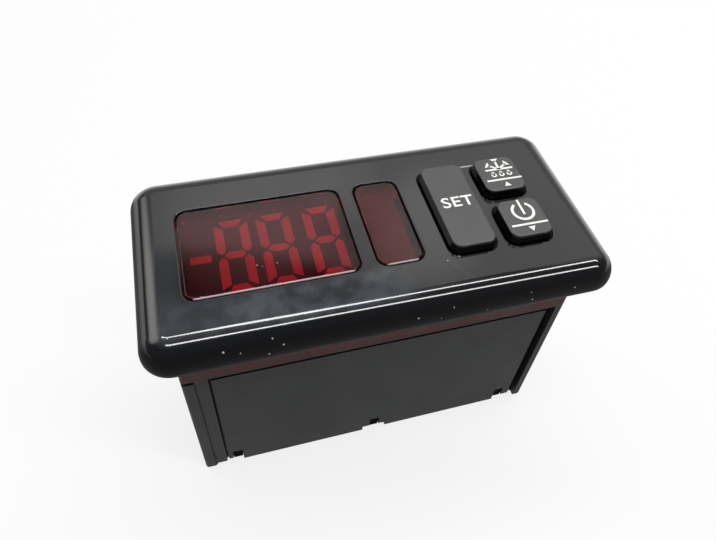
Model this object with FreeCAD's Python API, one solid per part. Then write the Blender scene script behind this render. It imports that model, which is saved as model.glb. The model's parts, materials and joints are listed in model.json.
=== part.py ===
import FreeCAD, Part
import os

# Panel-mounted temperature controller for refrigeration, standing on its rear edge.
# +X runs along the long side as the front reads, +Y goes up the front and +Z points out
# of it. The origin is the middle of the rear edge. All sizes are in millimetres.

# Front frame, standing out past the body on every side
FLANGE_LENGTH = 4.2
FLANGE_WIDTH = 5.1
FRONT_CORNER_RADIUS = 4.8
BEZEL_HEIGHT = 6.2
BEZEL_SKIN = 1.4
BEZEL_FACE_ROUND = 4.0
BEZEL_BACK_ROUND = 2.0
OPENING_EDGE_ROUND = 0.25

# Body behind the panel
DEPTH = 51.7
BODY_LENGTH = 70.6
BODY_WIDTH = 27.8
BODY_CORNER_RADIUS = 0.6
COLLAR_DEPTH = 10.0
CASE_WALL = 1.8
LENS_WALL = 1.6
LENS_PLATE = 1.0

# Row across the front, from the body's left end: display window, light window and keys.
# The display window takes the length that the others leave.
ROW_LEFT_MARGIN = 3.25
WINDOW_SPACING = 2.5
KEY_ROW_SPACING = 4.28
KEY_SPACING = 2.1
ROW_RIGHT_MARGIN = 5.12

# Windows, side by side at one height
WINDOW_HEIGHT = 19.1
WINDOW_CORNER_RADIUS = 2.1
WINDOW_GAP = 0.3
WINDOW_EDGE_ROUND = 0.25
LIGHT_WINDOW_LENGTH = 8.3

# Keys
KEY_RISE = 1.7
KEY_TRAVEL = 0.5
KEY_CORNER_RADIUS = 1.9
KEY_EDGE_ROUND = 0.4
KEY_DRAFT = 0.35
KEY_STRAIGHT = 0.4
KEY_CLEARANCE = 0.25
KEY_LIP = 0.5
KEY_LIP_HEIGHT = 1.2
KEY_STEM = 4.2
SET_KEY_LENGTH = 8.4
SET_KEY_HEIGHT = 19.7
STEP_KEY_LENGTH = 8.3
STEP_KEY_HEIGHT = 9.05
STEP_KEY_SPLIT = 1.9

# Push switches under the keys
SWITCH_SIDE = 6.0
SWITCH_HEIGHT = 3.5
SWITCH_COVER = 0.4
PLUNGER_RADIUS = 1.7
PLUNGER_RISE = 0.9
PLUNGER_SUNK = 1.0

# Digit display and indicator lights
DISPLAY_HEIGHT = 5.8
DISPLAY_MARGIN = 0.9
DISPLAY_GAP = 0.7
DIGIT_CELL = 7.25
DIGIT_GAP = 3.0
DIGIT_MARGIN = 2.62
DIGITS_INSET = 0.3
POINT_ROOM = 0.77
SEGMENT_WIDTH = 1.6
SEGMENT_DEPTH = 0.5
SEGMENT_END_GAP = 0.25
SEGMENT_CORNER_GAP = 0.5
SEGMENT_SLANT = 0.45
SIGN_LENGTH = 3.5
SIGN_INSET = 3.35
SIGN_CELL = 5.3
LIGHT_COUNT = 4
LIGHT_END_ROOM = 3.25
LIGHT_CHAMBER = 3.0
LIGHT_CHAMBER_LENGTH = 5.0
LIGHT_BOX_SKIN = 0.8
LIGHT_LENGTH = 2.0
LIGHT_WIDTH = 1.25
LIGHT_HEIGHT = 0.8

# Boards
BOARD_THICKNESS = 1.6
BOARD_SIDE_GAP = 0.4
BOARD_POST = 2.0
LINK_GAP = 0.6
LINK_PINS = 8
LINK_PITCH = 2.54
LINK_PIN = 0.6
LINK_BODY = 2.5
LINK_TAIL = 0.7

# Parts on the boards
COMPONENT_MARGIN = 1.5
COMPONENT_LIFT = 1.0
CORE_LENGTH = 16.0
CORE_HEIGHT = 14.0
CORE_DEPTH = 8.0
CORE_LEG = 3.2
WINDING_DEPTH = 12.0
CAPACITOR_RADIUS = 4.0
CAPACITOR_LENGTH = 13.0
CAPACITOR_ROUND = 0.6
RELAY_LENGTH = 12.8
RELAY_HEIGHT = 18.6
RELAY_DEPTH = 13.2
RELAY_ROUND = 0.8
BUZZER_RADIUS = 4.8
BUZZER_HEIGHT = 4.2
BUZZER_PORT_RADIUS = 1.0
CHIP_SIDE = 7.0
CHIP_HEIGHT = 1.2
CHIP_LEADS = 8
CHIP_LEAD_PITCH = 0.8
CHIP_LEAD_WIDTH = 0.36
CHIP_LEAD_REACH = 1.0
CHIP_LEAD_THICKNESS = 0.2

# Screw terminals
TERMINAL_PITCH = 5.0
PROBE_WAYS = 5
TERMINAL_SPLIT = 0.6
TERMINAL_END_ROOM = 2.9
TERMINAL_DEPTH = 12.0
TERMINAL_RISE = 14.4
TERMINAL_HEADROOM = 0.4
WIRE_ENTRY_LENGTH = 3.4
WIRE_ENTRY_HEIGHT = 3.8
WIRE_ENTRY_Y = 4.2
WIRE_ENTRY_DEPTH = 9.0
SCREW_Z = 5.5
SCREW_HEAD_RADIUS = 1.7
SCREW_HEAD_HEIGHT = 1.6
SCREW_SUNK = 1.0
SCREW_SHANK_RADIUS = 1.25
SCREW_SLOT_WIDTH = 0.6
SCREW_SLOT_DEPTH = 0.8
SCREW_TIP_RISE = 0.6
SCREW_ACCESS_RADIUS = 1.8
CAGE_WALL = 0.5
CAGE_LENGTH = 6.0
CAGE_SET_BACK = 2.4

# Case and covers
REAR_RECESS = 0.8
REAR_EDGE_ROUND = 0.5
REAR_COVER = 1.6
LIP_WALL = 1.2
LIP_ROOT = 3.0
STRIP_LEFT = 2.2
COLUMN_LEFT = 2.2
STRIP_RIGHT = 1.7
STRIP_SEAM = 0.7
STRIP_SEAM_DEPTH = 1.0
STRIP_GROOVE = 0.3
PANEL_RIM = 0.8
PANEL_RIM_REACH = 1.2
PANEL_RECESS = 0.3
PANEL_GAP_LEFT = 0.4
PANEL_GAP_RIGHT = 1.6
PANEL_GAP_TOP = 1.15
NOTCH_END_ROOM = 1.9
NOTCH_SHIFT = 0.4
NOTCH_WIDTH = 2.0
NOTCH_HEIGHT = 4.3
NOTCH_RELIEF_WIDTH = 5.0
NOTCH_RELIEF = 1.4
TONGUE_THICKNESS = 1.2
TONGUE_HEIGHT = 3.2
GUIDE_GRIP = 0.65
GUIDE_WALL = 1.1
TRACK_WIDTH = 9.0
TRACK_DEPTH = 0.8
TRACK_MARGIN = 4.0
TOOTH_WIDTH = 5.0
TOOTH_PITCH = 1.6
TOOTH_HEIGHT = 0.6

# Clearances
SLIDE_FIT = 0.1
LOOSE_FIT = 0.2
SEAT_GAP = 0.05
PAST = 1.0
LEVEL_TOLERANCE = 1e-4

# Levels along the depth
FACE_Z = DEPTH
SKIN_Z = FACE_Z - BEZEL_SKIN
PLATE_Z = SKIN_Z - LENS_PLATE
SEAT_Z = FACE_Z - BEZEL_HEIGHT
SEAM_Z = SEAT_Z - COLLAR_DEPTH
DISPLAY_TOP_Z = PLATE_Z - DISPLAY_GAP
BOARD_TOP_Z = DISPLAY_TOP_Z - DISPLAY_HEIGHT
BOARD_LOW_Z = BOARD_TOP_Z - BOARD_THICKNESS
LIP_TOP_Z = BOARD_LOW_Z - SEAT_GAP
SWITCH_TOP_Z = BOARD_TOP_Z + SWITCH_HEIGHT
PLUNGER_TOP_Z = SWITCH_TOP_Z + PLUNGER_RISE
KEY_LIP_TOP_Z = SKIN_Z - SEAT_GAP
KEY_LIP_LOW_Z = KEY_LIP_TOP_Z - KEY_LIP_HEIGHT
KEY_TOP_Z = FACE_Z + KEY_RISE
COVER_TOP_Z = REAR_RECESS + REAR_COVER
MAIN_BOARD_LOW_Z = COVER_TOP_Z + LOOSE_FIT
MAIN_BOARD_TOP_Z = BOARD_LOW_Z - LINK_GAP
TERMINAL_TOP_Z = REAR_RECESS + TERMINAL_DEPTH
PANEL_TOP_Z = SEAM_Z - PANEL_GAP_TOP

# Places across the body
FRONT_LENGTH = BODY_LENGTH + 2 * FLANGE_LENGTH
FRONT_WIDTH = BODY_WIDTH + 2 * FLANGE_WIDTH
CASE_INNER_LENGTH = BODY_LENGTH - 2 * CASE_WALL
CASE_INNER_WIDTH = BODY_WIDTH - 2 * CASE_WALL
LENS_INNER_LENGTH = BODY_LENGTH - 2 * LENS_WALL
LENS_INNER_WIDTH = BODY_WIDTH - 2 * LENS_WALL
LIP_LENGTH = LENS_INNER_LENGTH - 2 * SLIDE_FIT
LIP_WIDTH = LENS_INNER_WIDTH - 2 * SLIDE_FIT
OPEN_LEFT_X = STRIP_LEFT + COLUMN_LEFT - BODY_LENGTH / 2
OPEN_RIGHT_X = BODY_LENGTH / 2 - STRIP_RIGHT
PANEL_LOW_X = OPEN_LEFT_X + PANEL_GAP_LEFT
PANEL_HIGH_X = OPEN_RIGHT_X - PANEL_GAP_RIGHT
NEAR_FACE_Y = -BODY_WIDTH / 2
NEAR_INNER_Y = NEAR_FACE_Y + CASE_WALL
PANEL_FACE_Y = NEAR_FACE_Y + PANEL_RECESS
MAIN_BOARD_LENGTH = LIP_LENGTH - 2 * LIP_WALL - 2 * BOARD_SIDE_GAP
MAIN_BOARD_Y = CASE_INNER_WIDTH / 2 - TERMINAL_HEADROOM - TERMINAL_RISE
MAIN_BOARD_BACK_Y = MAIN_BOARD_Y - BOARD_THICKNESS
TERMINAL_TOP_Y = MAIN_BOARD_Y + TERMINAL_RISE
ENTRY_Y = MAIN_BOARD_Y + WIRE_ENTRY_Y
TERMINAL_SCREW_Z = REAR_RECESS + SCREW_Z
TERMINAL_ROOM = CASE_INNER_LENGTH - 2 * TERMINAL_END_ROOM - TERMINAL_SPLIT
POWER_WAYS = int(TERMINAL_ROOM / TERMINAL_PITCH) - PROBE_WAYS
TERMINALS_LENGTH = (POWER_WAYS + PROBE_WAYS) * TERMINAL_PITCH + TERMINAL_SPLIT
POWER_LOW_X = -TERMINALS_LENGTH / 2
PROBE_LOW_X = POWER_LOW_X + POWER_WAYS * TERMINAL_PITCH + TERMINAL_SPLIT
LINK_Y = MAIN_BOARD_BACK_Y - LOOSE_FIT - LINK_BODY / 2
LINK_BEND_Z = BOARD_LOW_Z - LINK_BODY - LINK_TAIL
STEP_KEY_Y = (STEP_KEY_HEIGHT + STEP_KEY_SPLIT) / 2
NOTCH_PITCH = NOTCH_SHIFT - PANEL_LOW_X - NOTCH_END_ROOM
NOTCH_PLACES = (NOTCH_SHIFT - NOTCH_PITCH, NOTCH_SHIFT, NOTCH_SHIFT + NOTCH_PITCH)
RIM_BACK_Y = NEAR_INNER_Y + PANEL_RIM

# Row of parts on the main board, spread evenly between its ends
COMPONENTS_LENGTH = CORE_LENGTH + 2 * CAPACITOR_RADIUS + 2 * RELAY_LENGTH
COMPONENT_GAP = (MAIN_BOARD_LENGTH - 2 * COMPONENT_MARGIN - COMPONENTS_LENGTH) / 3
CORE_LOW_X = COMPONENT_MARGIN - MAIN_BOARD_LENGTH / 2
CAPACITOR_LOW_X = CORE_LOW_X + CORE_LENGTH + COMPONENT_GAP
COMPRESSOR_LOW_X = CAPACITOR_LOW_X + 2 * CAPACITOR_RADIUS + COMPONENT_GAP
DEFROST_LOW_X = COMPRESSOR_LOW_X + RELAY_LENGTH + COMPONENT_GAP
COMPONENT_LOW_Z = TERMINAL_TOP_Z + COMPONENT_LIFT
CORE_LOW_Y = MAIN_BOARD_Y + (WINDING_DEPTH - CORE_DEPTH) / 2

# Places along the front's row, the keys from its right end and the windows from both sides
STEP_KEY_X = BODY_LENGTH / 2 - ROW_RIGHT_MARGIN - STEP_KEY_LENGTH / 2
SET_KEY_X = STEP_KEY_X - (STEP_KEY_LENGTH + SET_KEY_LENGTH) / 2 - KEY_SPACING
LIGHT_WINDOW_X = SET_KEY_X - (SET_KEY_LENGTH + LIGHT_WINDOW_LENGTH) / 2 - KEY_ROW_SPACING
DISPLAY_LOW_X = ROW_LEFT_MARGIN - BODY_LENGTH / 2
DISPLAY_HIGH_X = LIGHT_WINDOW_X - LIGHT_WINDOW_LENGTH / 2 - WINDOW_SPACING
DISPLAY_WINDOW_X = (DISPLAY_LOW_X + DISPLAY_HIGH_X) / 2
DISPLAY_WINDOW_LENGTH = DISPLAY_HIGH_X - DISPLAY_LOW_X

# Figures of the display, as many as the window has room for after the cell of the minus sign,
# with room for a point before the last one, and the lights' even spread up their window
DIGITS_LENGTH = DISPLAY_WINDOW_LENGTH - SIGN_CELL - POINT_ROOM - DIGITS_INSET
DIGIT_COUNT = int(DIGITS_LENGTH / DIGIT_CELL)
DIGIT_SPACING = DIGIT_CELL - DIGIT_GAP
DIGIT_STEP = WINDOW_HEIGHT / 2 - DIGIT_MARGIN
SIGN_X = DISPLAY_LOW_X + SIGN_INSET
FIRST_DIGIT_X = DISPLAY_LOW_X + SIGN_CELL + DIGIT_CELL / 2
LIGHT_PITCH = (WINDOW_HEIGHT - 2 * LIGHT_END_ROOM) / (LIGHT_COUNT - 1)

# Openings in the front as centre x, centre y, length and height
DISPLAY_WINDOW = (DISPLAY_WINDOW_X, 0.0, DISPLAY_WINDOW_LENGTH, WINDOW_HEIGHT)
LIGHT_WINDOW = (LIGHT_WINDOW_X, 0.0, LIGHT_WINDOW_LENGTH, WINDOW_HEIGHT)
SET_KEY = (SET_KEY_X, 0.0, SET_KEY_LENGTH, SET_KEY_HEIGHT)
UP_KEY = (STEP_KEY_X, STEP_KEY_Y, STEP_KEY_LENGTH, STEP_KEY_HEIGHT)
DOWN_KEY = (STEP_KEY_X, -STEP_KEY_Y, STEP_KEY_LENGTH, STEP_KEY_HEIGHT)
KEYS = {"set": SET_KEY, "up": UP_KEY, "down": DOWN_KEY}


def point(x, y, z):
    return FreeCAD.Vector(x, y, z)


def span_box(low, high):
    """Box between two corners."""
    return Part.makeBox(high[0] - low[0], high[1] - low[1], high[2] - low[2], point(*low))


def rounded_outline(place, radius, z, grow=0.0):
    """Closed wire of a rounded rectangle, grown outwards all round."""
    x, y, length, height = place
    a = length / 2 + grow
    b = height / 2 + grow
    r = radius + grow
    bulge = r * (1 - 0.5 ** 0.5)
    corners = ((1, 1), (-1, 1), (-1, -1), (1, -1))
    edges = []
    for index, (sx, sy) in enumerate(corners):
        side = point(x + sx * a, y + sy * (b - r), z)
        end = point(x + sx * (a - r), y + sy * b, z)
        middle = point(x + sx * (a - bulge), y + sy * (b - bulge), z)
        first, last = (side, end) if sx * sy > 0 else (end, side)
        edges.append(Part.Arc(first, middle, last).toShape())
        nx, ny = corners[(index + 1) % 4]
        if sx * sy > 0:
            start_next = point(x + nx * (a - r), y + ny * b, z)
        else:
            start_next = point(x + nx * a, y + ny * (b - r), z)
        edges.append(Part.makeLine(last, start_next))
    return Part.Wire(edges)


def slab(place, radius, z_low, z_high, grow=0.0):
    """Upright prism on a rounded rectangle."""
    face = Part.Face(rounded_outline(place, radius, z_low, grow))
    return face.extrude(point(0, 0, z_high - z_low))


def frame_place(length, width):
    return (0.0, 0.0, length, width)


def edges_at(shape, z, place=None, grow=0.0):
    """Edges that lie flat at one level, inside a place if one is given."""
    found = []
    for edge in shape.Edges:
        box = edge.BoundBox
        if max(abs(box.ZMin - z), abs(box.ZMax - z)) > LEVEL_TOLERANCE:
            continue
        if place:
            x, y, length, height = place
            if max(abs(box.XMin - x), abs(box.XMax - x)) > length / 2 + grow:
                continue
            if max(abs(box.YMin - y), abs(box.YMax - y)) > height / 2 + grow:
                continue
        found.append(edge)
    return found


def make_bezel():
    outline = frame_place(FRONT_LENGTH, FRONT_WIDTH)
    body = slab(outline, FRONT_CORNER_RADIUS, SEAT_Z, FACE_Z)
    body = body.makeFillet(BEZEL_FACE_ROUND, edges_at(body, FACE_Z))
    body = body.makeFillet(BEZEL_BACK_ROUND, edges_at(body, SEAT_Z))
    pocket_place = frame_place(BODY_LENGTH, BODY_WIDTH)
    body = body.cut(slab(pocket_place, BODY_CORNER_RADIUS, SEAT_Z - PAST, SKIN_Z, SLIDE_FIT))
    openings = [(DISPLAY_WINDOW, WINDOW_CORNER_RADIUS, 0.0), (LIGHT_WINDOW, WINDOW_CORNER_RADIUS, 0.0)]
    openings += [(key, KEY_CORNER_RADIUS, KEY_CLEARANCE) for key in KEYS.values()]
    for place, radius, grow in openings:
        body = body.cut(slab(place, radius, SKIN_Z - PAST, FACE_Z + PAST, grow))
        rim = edges_at(body, FACE_Z, place, grow + SEAT_GAP)
        body = body.makeFillet(OPENING_EDGE_ROUND, rim)
    return body


def make_lens_frame():
    outline = frame_place(BODY_LENGTH, BODY_WIDTH)
    inner = frame_place(LENS_INNER_LENGTH, LENS_INNER_WIDTH)
    body = slab(outline, BODY_CORNER_RADIUS, SEAM_Z, SKIN_Z)
    body = body.cut(slab(inner, BODY_CORNER_RADIUS, SEAM_Z - PAST, PLATE_Z))
    for place in (DISPLAY_WINDOW, LIGHT_WINDOW):
        pad = slab(place, WINDOW_CORNER_RADIUS, SKIN_Z, FACE_Z, -WINDOW_GAP)
        pad = pad.makeFillet(WINDOW_EDGE_ROUND, edges_at(pad, FACE_Z))
        body = body.fuse(pad)
    reach = KEY_LIP + LOOSE_FIT
    for place in KEYS.values():
        body = body.cut(slab(place, KEY_CORNER_RADIUS, PLATE_Z - PAST, SKIN_Z + PAST, reach))
    corner_x = LENS_INNER_LENGTH / 2
    corner_y = LENS_INNER_WIDTH / 2
    for sx in (-1, 1):
        for sy in (-1, 1):
            xs = sorted((sx * corner_x, sx * (corner_x - BOARD_POST)))
            ys = sorted((sy * corner_y, sy * (corner_y - BOARD_POST)))
            post = span_box((xs[0], ys[0], BOARD_TOP_Z), (xs[1], ys[1], PLATE_Z))
            body = body.fuse(post)
    return body.removeSplitter()


def make_key(place):
    x, y = place[:2]
    taper_z = FACE_Z + KEY_STRAIGHT
    cap = slab(place, KEY_CORNER_RADIUS, KEY_LIP_TOP_Z, taper_z)
    low = rounded_outline(place, KEY_CORNER_RADIUS, taper_z)
    high = rounded_outline(place, KEY_CORNER_RADIUS, KEY_TOP_Z, -KEY_DRAFT)
    crown = Part.makeLoft([low, high], True, True)
    crown = crown.makeFillet(KEY_EDGE_ROUND, edges_at(crown, KEY_TOP_Z))
    lip = slab(place, KEY_CORNER_RADIUS, KEY_LIP_LOW_Z, KEY_LIP_TOP_Z, KEY_LIP)
    half = KEY_STEM / 2
    stem = span_box((x - half, y - half, PLUNGER_TOP_Z), (x + half, y + half, KEY_LIP_LOW_Z))
    return cap.fuse([crown, lip, stem]).removeSplitter()


def make_switch(place):
    x, y = place[:2]
    half = SWITCH_SIDE / 2
    step_z = SWITCH_TOP_Z - SWITCH_COVER
    base = span_box((x - half, y - half, BOARD_TOP_Z), (x + half, y + half, step_z))
    shrunk = half - SWITCH_COVER
    cover = span_box((x - shrunk, y - shrunk, step_z), (x + shrunk, y + shrunk, SWITCH_TOP_Z))
    depth = PLUNGER_SUNK + KEY_TRAVEL + LOOSE_FIT
    bore = Part.makeCylinder(PLUNGER_RADIUS + LOOSE_FIT, depth + PAST, point(x, y, SWITCH_TOP_Z - depth))
    return base.fuse(cover).cut(bore).removeSplitter()


def make_plunger(place):
    x, y = place[:2]
    foot = point(x, y, SWITCH_TOP_Z - PLUNGER_SUNK)
    return Part.makeCylinder(PLUNGER_RADIUS, PLUNGER_RISE + PLUNGER_SUNK, foot)


def link_places():
    """Where the pins between the two boards stand along X."""
    first = -LINK_PITCH * (LINK_PINS - 1) / 2
    return [first + index * LINK_PITCH for index in range(LINK_PINS)]


def link_drill(x, grow):
    """Upright passage for one pin through the display board and the header."""
    half = LINK_PIN / 2 + grow
    low = (x - half, LINK_Y - half, LINK_BEND_Z - half)
    return span_box(low, (x + half, LINK_Y + half, BOARD_TOP_Z + PAST))


def make_display_board():
    place = frame_place(LENS_INNER_LENGTH, LENS_INNER_WIDTH)
    board = slab(place, BODY_CORNER_RADIUS, BOARD_LOW_Z, BOARD_TOP_Z, -LOOSE_FIT)
    drills = [link_drill(x, SLIDE_FIT) for x in link_places()]
    return board.cut(Part.makeCompound(drills))


def bar_end(length, outer, grow):
    """Corners of a bar's end, from its low side: square, a slant that is longer outside, or a point."""
    half = SEGMENT_WIDTH / 2 + grow
    if outer is None:
        return [(length / 2 + grow, -half), (length / 2 + grow, half)]
    if outer:
        reach = length / 2 - SEGMENT_CORNER_GAP + grow
        return [(reach - outer * SEGMENT_SLANT, -half), (reach + outer * SEGMENT_SLANT, half)]
    reach = length / 2 - SEGMENT_END_GAP + grow
    return [(reach - half, -half), (reach, 0), (reach - half, half)]


def segment_bar(x, y, length, upright, ends, grow):
    """Bar of the display, as a prism sunk from the display's face."""
    low_end = bar_end(length, ends[0], grow)
    along = bar_end(length, ends[1], grow)
    along += [(-u, v) for u, v in reversed(low_end)]
    low_z = DISPLAY_TOP_Z - SEGMENT_DEPTH
    corners = [point(x + (v if upright else u), y + (u if upright else v), low_z) for u, v in along]
    face = Part.Face(Part.makePolygon(corners + corners[:1]))
    if upright:
        face.reverse()
    return face.extrude(point(0, 0, SEGMENT_DEPTH))


def digit_places():
    """Middle of each figure along X."""
    places = [FIRST_DIGIT_X + index * DIGIT_CELL for index in range(DIGIT_COUNT)]
    places[-1] += POINT_ROOM
    return places


def display_bars(grow):
    """Every bar that lights: a minus sign and figures of seven bars."""
    bars = [segment_bar(SIGN_X, 0.0, SIGN_LENGTH, False, (None, None), grow)]
    for x in digit_places():
        for row in (-1, 0, 1):
            bars.append(segment_bar(x, row * DIGIT_STEP, DIGIT_SPACING, False, (row, row), grow))
        for side in (-1, 1):
            side_x = x + side * DIGIT_SPACING / 2
            for row, ends in ((-1, (side, 0)), (1, (0, side))):
                bars.append(segment_bar(side_x, row * DIGIT_STEP / 2, DIGIT_STEP, True, ends, grow))
    return bars


def make_digit_display():
    body = slab(DISPLAY_WINDOW, WINDOW_CORNER_RADIUS, BOARD_TOP_Z, DISPLAY_TOP_Z, -DISPLAY_MARGIN)
    return body.cut(Part.makeCompound(display_bars(0.0)))


def make_digit_segments():
    return Part.makeCompound(display_bars(-SEAT_GAP))


def light_places():
    """Where the indicator lights stand along Y."""
    first = -LIGHT_PITCH * (LIGHT_COUNT - 1) / 2
    return [first + index * LIGHT_PITCH for index in range(LIGHT_COUNT)]


def make_light_box():
    """Box with a chamber for each light under a thin skin that spreads its glow."""
    body = slab(LIGHT_WINDOW, WINDOW_CORNER_RADIUS, BOARD_TOP_Z, DISPLAY_TOP_Z, -DISPLAY_MARGIN)
    half_x = LIGHT_CHAMBER_LENGTH / 2
    half_y = LIGHT_CHAMBER / 2
    skin_low_z = DISPLAY_TOP_Z - LIGHT_BOX_SKIN
    for y in light_places():
        low = (LIGHT_WINDOW_X - half_x, y - half_y, BOARD_TOP_Z - PAST)
        body = body.cut(span_box(low, (LIGHT_WINDOW_X + half_x, y + half_y, skin_low_z)))
    return body


def make_lights():
    half_x = LIGHT_LENGTH / 2
    half_y = LIGHT_WIDTH / 2
    lights = []
    for y in light_places():
        low = (LIGHT_WINDOW_X - half_x, y - half_y, BOARD_TOP_Z)
        lights.append(span_box(low, (LIGHT_WINDOW_X + half_x, y + half_y, BOARD_TOP_Z + LIGHT_HEIGHT)))
    return Part.makeCompound(lights)


def make_microcontroller():
    """Flat chip under the display board with leads on its four sides."""
    x = DISPLAY_WINDOW_X
    y = LINK_Y + LINK_BODY / 2 + CHIP_SIDE
    half = CHIP_SIDE / 2
    body = span_box((x - half, y - half, BOARD_LOW_Z - CHIP_HEIGHT), (x + half, y + half, BOARD_LOW_Z))
    leads = []
    first = -CHIP_LEAD_PITCH * (CHIP_LEADS - 1) / 2
    reach = half + CHIP_LEAD_REACH
    wide = CHIP_LEAD_WIDTH / 2
    low_z = BOARD_LOW_Z - CHIP_LEAD_THICKNESS
    for index in range(CHIP_LEADS):
        offset = first + index * CHIP_LEAD_PITCH
        row_x = x + offset
        row_y = y + offset
        leads.append(span_box((row_x - wide, y - reach, low_z), (row_x + wide, y + reach, BOARD_LOW_Z)))
        leads.append(span_box((x - reach, row_y - wide, low_z), (x + reach, row_y + wide, BOARD_LOW_Z)))
    return body.fuse(leads).removeSplitter()


def make_link_header():
    places = link_places()
    half = LINK_BODY / 2
    low = (places[0] - half, LINK_Y - half, BOARD_LOW_Z - LINK_BODY)
    body = span_box(low, (places[-1] + half, LINK_Y + half, BOARD_LOW_Z))
    return body.cut(Part.makeCompound([link_drill(x, 0.0) for x in places]))


def make_link_pins():
    """Right-angled pins that carry the display board's lines to the main board."""
    half = LINK_PIN / 2
    end_y = MAIN_BOARD_Y + LINK_TAIL
    pins = []
    for x in link_places():
        top_z = BOARD_TOP_Z - SEAT_GAP
        post = span_box((x - half, LINK_Y - half, LINK_BEND_Z - half), (x + half, LINK_Y + half, top_z))
        tail = span_box((x - half, LINK_Y - half, LINK_BEND_Z - half), (x + half, end_y, LINK_BEND_Z + half))
        pins.append(post.fuse(tail).removeSplitter())
    return Part.makeCompound(pins)


def make_main_board():
    half = MAIN_BOARD_LENGTH / 2
    low = (-half, MAIN_BOARD_BACK_Y, MAIN_BOARD_LOW_Z)
    board = span_box(low, (half, MAIN_BOARD_Y, MAIN_BOARD_TOP_Z))
    pin = LINK_PIN / 2 + SLIDE_FIT
    drills = []
    for x in link_places():
        drill_low = (x - pin, MAIN_BOARD_BACK_Y - PAST, LINK_BEND_Z - pin)
        drills.append(span_box(drill_low, (x + pin, MAIN_BOARD_Y + PAST, LINK_BEND_Z + pin)))
    return board.cut(Part.makeCompound(drills))


def make_transformer_core():
    """Ferrite core of two E shapes, with the winding's two windows through it."""
    low = (CORE_LOW_X, CORE_LOW_Y, COMPONENT_LOW_Z)
    high = (CORE_LOW_X + CORE_LENGTH, CORE_LOW_Y + CORE_DEPTH, COMPONENT_LOW_Z + CORE_HEIGHT)
    body = span_box(low, high)
    window = (CORE_LENGTH - 4 * CORE_LEG) / 2
    for start in (CORE_LEG, 3 * CORE_LEG + window):
        cut_low = (CORE_LOW_X + start, low[1] - PAST, low[2] + CORE_LEG)
        cut_high = (CORE_LOW_X + start + window, high[1] + PAST, high[2] - CORE_LEG)
        body = body.cut(span_box(cut_low, cut_high))
    return body


def make_transformer_winding():
    """Coil round the core's middle leg, standing on the main board."""
    window = (CORE_LENGTH - 4 * CORE_LEG) / 2
    low_x = CORE_LOW_X + CORE_LEG
    high_x = CORE_LOW_X + CORE_LENGTH - CORE_LEG
    low_z = COMPONENT_LOW_Z + CORE_LEG
    high_z = COMPONENT_LOW_Z + CORE_HEIGHT - CORE_LEG
    body = span_box((low_x, MAIN_BOARD_Y, low_z), (high_x, MAIN_BOARD_Y + WINDING_DEPTH, high_z))
    leg_low = (low_x + window, CORE_LOW_Y, low_z - PAST)
    leg_high = (high_x - window, CORE_LOW_Y + CORE_DEPTH, high_z + PAST)
    return body.cut(span_box(leg_low, leg_high))


def make_filter_capacitor():
    """Lying can capacitor with its rolled end, just clear of the board."""
    middle_x = CAPACITOR_LOW_X + CAPACITOR_RADIUS
    middle_y = MAIN_BOARD_Y + CAPACITOR_RADIUS + SEAT_GAP
    can = Part.makeCylinder(CAPACITOR_RADIUS, CAPACITOR_LENGTH, point(middle_x, middle_y, COMPONENT_LOW_Z))
    return can.makeFillet(CAPACITOR_ROUND, edges_at(can, COMPONENT_LOW_Z + CAPACITOR_LENGTH))


def make_relay(low_x):
    low = (low_x, MAIN_BOARD_Y, COMPONENT_LOW_Z)
    high = (low_x + RELAY_LENGTH, MAIN_BOARD_Y + RELAY_DEPTH, COMPONENT_LOW_Z + RELAY_HEIGHT)
    body = span_box(low, high)
    top = [edge for edge in body.Edges if edge.BoundBox.YMin > high[1] - PAST]
    return body.makeFillet(RELAY_ROUND, top)


def make_buzzer():
    """Round sounder on the main board's plain side, with its sound port."""
    middle_z = (COMPONENT_LOW_Z + SEAM_Z) / 2
    base = point(0, MAIN_BOARD_BACK_Y - BUZZER_HEIGHT, middle_z)
    body = Part.makeCylinder(BUZZER_RADIUS, BUZZER_HEIGHT, base, point(0, 1, 0))
    port = Part.makeCylinder(BUZZER_PORT_RADIUS, BUZZER_HEIGHT / 2, base, point(0, 1, 0))
    return body.cut(port)


def way_places(low_x, ways):
    """Middle of each way of a terminal block along X."""
    return [low_x + (index + 0.5) * TERMINAL_PITCH for index in range(ways)]


def make_terminal_block(low_x, ways):
    high_x = low_x + ways * TERMINAL_PITCH
    body = span_box((low_x, MAIN_BOARD_Y, REAR_RECESS), (high_x, TERMINAL_TOP_Y, TERMINAL_TOP_Z))
    half_x = WIRE_ENTRY_LENGTH / 2
    half_y = WIRE_ENTRY_HEIGHT / 2
    cuts = []
    for x in way_places(low_x, ways):
        entry_low = (x - half_x, ENTRY_Y - half_y, REAR_RECESS - PAST)
        entry_high = (x + half_x, ENTRY_Y + half_y, REAR_RECESS + WIRE_ENTRY_DEPTH)
        cuts.append(span_box(entry_low, entry_high))
        base = point(x, ENTRY_Y, TERMINAL_SCREW_Z)
        rise = TERMINAL_TOP_Y + PAST - ENTRY_Y
        cuts.append(Part.makeCylinder(SCREW_HEAD_RADIUS + SLIDE_FIT, rise, base, point(0, 1, 0)))
    return body.cut(cuts)


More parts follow.
